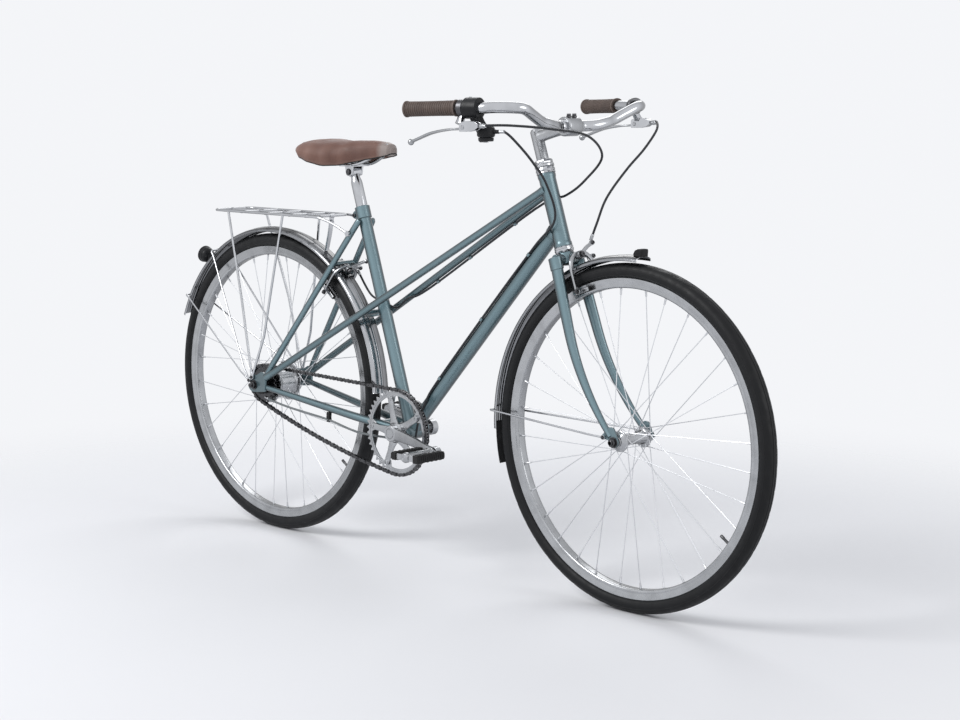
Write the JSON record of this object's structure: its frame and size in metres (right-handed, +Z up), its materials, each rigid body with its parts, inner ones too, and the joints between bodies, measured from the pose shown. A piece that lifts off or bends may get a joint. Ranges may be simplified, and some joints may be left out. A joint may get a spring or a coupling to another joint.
{
  "type": "bicycle",
  "caption": "Mixte city bicycle with twin lateral tubes, fenders, a wire rear rack, swept-back bars, rim brakes and a geared rear hub with a thumb shifter.",
  "frame": {"origin": "on the floor, midway between the two axles, on the wheels' centre plane", "axes": "+X towards the front wheel, +Y to the rider's left, +Z up; the drive side is towards -Y"},
  "size_m": [1.773, 0.556, 1.01],
  "materials": {
    "frame_paint": "blue-grey metallic gloss",
    "chrome": "polished",
    "alloy": "satin",
    "steel": "satin",
    "tyre": "matte",
    "black_plastic": "satin",
    "black_rubber": "matte",
    "brown_leather": "satin",
    "brown_grip": "matte",
    "cable_jacket": "satin",
    "red_lens": "gloss"
  },
  "bodies": {
    "frame": {"head_tube": "frame_paint", "down_tube": "frame_paint", "seat_tube": "frame_paint", "bottom_bracket_shell": "frame_paint", "lateral_tubes": "frame_paint", "seat_stays": "frame_paint", "chain_stays": "frame_paint", "headset_upper_cup": "chrome", "headset_lower_cup": "chrome", "bottom_bracket_cartridge": "steel", "rear_fender": "chrome", "rear_fender_stays": "chrome", "rear_rack": "chrome", "tail_light_housing": "black_plastic", "tail_light_lens": "red_lens", "chain": "steel", "rear_axle": "steel", "shift_cable": "cable_jacket", "rear_brake_cable": "cable_jacket"},
    "steering": {"fork": "frame_paint", "headset_locknut": "chrome", "quill_stem": "alloy", "handlebar": "chrome", "grip_right": "brown_grip", "grip_left": "brown_grip", "lever_bracket_right": "chrome", "lever_bracket_left": "chrome", "shifter_housing": "black_plastic", "front_axle": "steel", "front_fender": "chrome", "front_fender_stays": "chrome", "front_mudflap": "black_rubber", "front_brake_cable": "cable_jacket"},
    "lever_right": {"brake_lever_right": "alloy"},
    "lever_left": {"brake_lever_left": "alloy"},
    "gear_lever": {"shift_lever": "black_plastic"},
    "front_arm_right": {"front_brake_arm_right": "alloy", "front_brake_pad_right": "black_rubber"},
    "front_arm_left": {"front_brake_arm_left": "alloy", "front_brake_pad_left": "black_rubber"},
    "rear_arm_right": {"rear_brake_arm_right": "alloy", "rear_brake_pad_right": "black_rubber"},
    "rear_arm_left": {"rear_brake_arm_left": "alloy", "rear_brake_pad_left": "black_rubber"},
    "cranks": {"crank_right": "alloy", "crank_left": "alloy", "chainring": "alloy"},
    "pedal_r": {"pedal_right": "black_plastic"},
    "pedal_l": {"pedal_left": "black_plastic"},
    "front_wheel": {"front_tyre": "tyre", "front_rim": "alloy", "front_hub": "alloy"},
    "rear_wheel": {"rear_tyre": "tyre", "rear_rim": "alloy", "rear_hub": "alloy"},
    "sprocket": {"rear_sprocket": "steel"},
    "pulley": {"shift_pulley": "black_plastic"},
    "seatpost": {"seatpost": "chrome"},
    "saddle": {"saddle_frame": "chrome", "saddle_cover": "brown_leather"}
  },
  "joints": [
    {"name": "steering_turn", "type": "hinge", "parent": "frame", "child": "steering", "pos_m": [0.35778, 0, 0.71246], "axis": [-0.3173, 0, 0.9483], "range_deg": [-60, 60], "deforming": ["shift_cable", "rear_brake_cable"]},
    {"name": "front_wheel_spin", "type": "hinge", "parent": "steering", "child": "front_wheel", "pos_m": [0.5405, 0, 0.346], "axis": [0, 1, 0], "continuous": true},
    {"name": "rear_wheel_spin", "type": "hinge", "parent": "frame", "child": "rear_wheel", "pos_m": [-0.5405, 0, 0.346], "axis": [0, 1, 0], "continuous": true},
    {"name": "crank_spin", "type": "hinge", "parent": "frame", "child": "cranks", "pos_m": [-0.08718, 0, 0.2866], "axis": [0, 1, 0], "continuous": true, "deforming": ["chain"]},
    {"name": "pedal_right_spin", "type": "hinge", "parent": "cranks", "child": "pedal_r", "pos_m": [0.08218, -0.1435, 0.27178], "axis": [0, 1, 0], "continuous": true},
    {"name": "pedal_left_spin", "type": "hinge", "parent": "cranks", "child": "pedal_l", "pos_m": [-0.25653, 0.1435, 0.30142], "axis": [0, 1, 0], "continuous": true},
    {"name": "sprocket_spin", "type": "hinge", "parent": "frame", "child": "sprocket", "pos_m": [-0.5405, 0, 0.346], "axis": [0, 1, 0], "continuous": true},
    {"name": "brake_lever_right_pull", "type": "hinge", "parent": "steering", "child": "lever_right", "pos_m": [0.32, -0.24, 0.953], "axis": [0, 1, 0], "range_deg": [0, 12], "stiffness_Nm_per_rad": 2, "springref_deg": -5.73},
    {"name": "brake_lever_left_pull", "type": "hinge", "parent": "steering", "child": "lever_left", "pos_m": [0.345, 0.235, 0.953], "axis": [0, 1, 0], "range_deg": [0, 12], "stiffness_Nm_per_rad": 2, "springref_deg": -5.73},
    {"name": "front_arm_right_close", "type": "hinge", "parent": "steering", "child": "front_arm_right", "pos_m": [0.39647, 0, 0.69767], "axis": [0.9483, 0, 0.3173], "range_deg": [0, 2.2]},
    {"name": "front_arm_left_close", "type": "hinge", "parent": "steering", "child": "front_arm_left", "pos_m": [0.39647, 0, 0.69767], "axis": [0.9483, 0, 0.3173], "range_deg": [-2.2, 0]},
    {"name": "rear_arm_right_close", "type": "hinge", "parent": "frame", "child": "rear_arm_right", "pos_m": [-0.29541, 0, 0.63074], "axis": [0.7784, 0, -0.6278], "range_deg": [0, 2.2]},
    {"name": "rear_arm_left_close", "type": "hinge", "parent": "frame", "child": "rear_arm_left", "pos_m": [-0.29541, 0, 0.63074], "axis": [0.7784, 0, -0.6278], "range_deg": [-2.2, 0]},
    {"name": "gear_lever_shift", "type": "hinge", "parent": "steering", "child": "gear_lever", "pos_m": [0.349, -0.212, 0.934], "axis": [0, 0, 1], "range_deg": [0, 60]},
    {"name": "pulley_turn", "type": "hinge", "parent": "frame", "child": "pulley", "pos_m": [-0.5405, 0, 0.346], "axis": [0, 1, 0], "range_deg": [0, 90]},
    {"name": "seatpost_height", "type": "slide", "parent": "frame", "child": "seatpost", "axis": [-0.309, 0, 0.9511], "range_m": [0, 0.08]},
    {"name": "saddle_tilt", "type": "hinge", "parent": "seatpost", "child": "saddle", "pos_m": [-0.2678, 0, 0.84249], "axis": [0, 1, 0], "range_deg": [-6, 6]}
  ],
  "couplings": [
    {"joint": "sprocket_spin", "follows": "crank_spin", "ratio": 2.1905},
    {"joint": "front_arm_right_close", "follows": "brake_lever_left_pull", "ratio": 0.1833},
    {"joint": "front_arm_left_close", "follows": "brake_lever_left_pull", "ratio": -0.1833},
    {"joint": "rear_arm_right_close", "follows": "brake_lever_right_pull", "ratio": 0.1833},
    {"joint": "rear_arm_left_close", "follows": "brake_lever_right_pull", "ratio": -0.1833},
    {"joint": "pulley_turn", "follows": "gear_lever_shift", "ratio": 1.5}
  ]
}
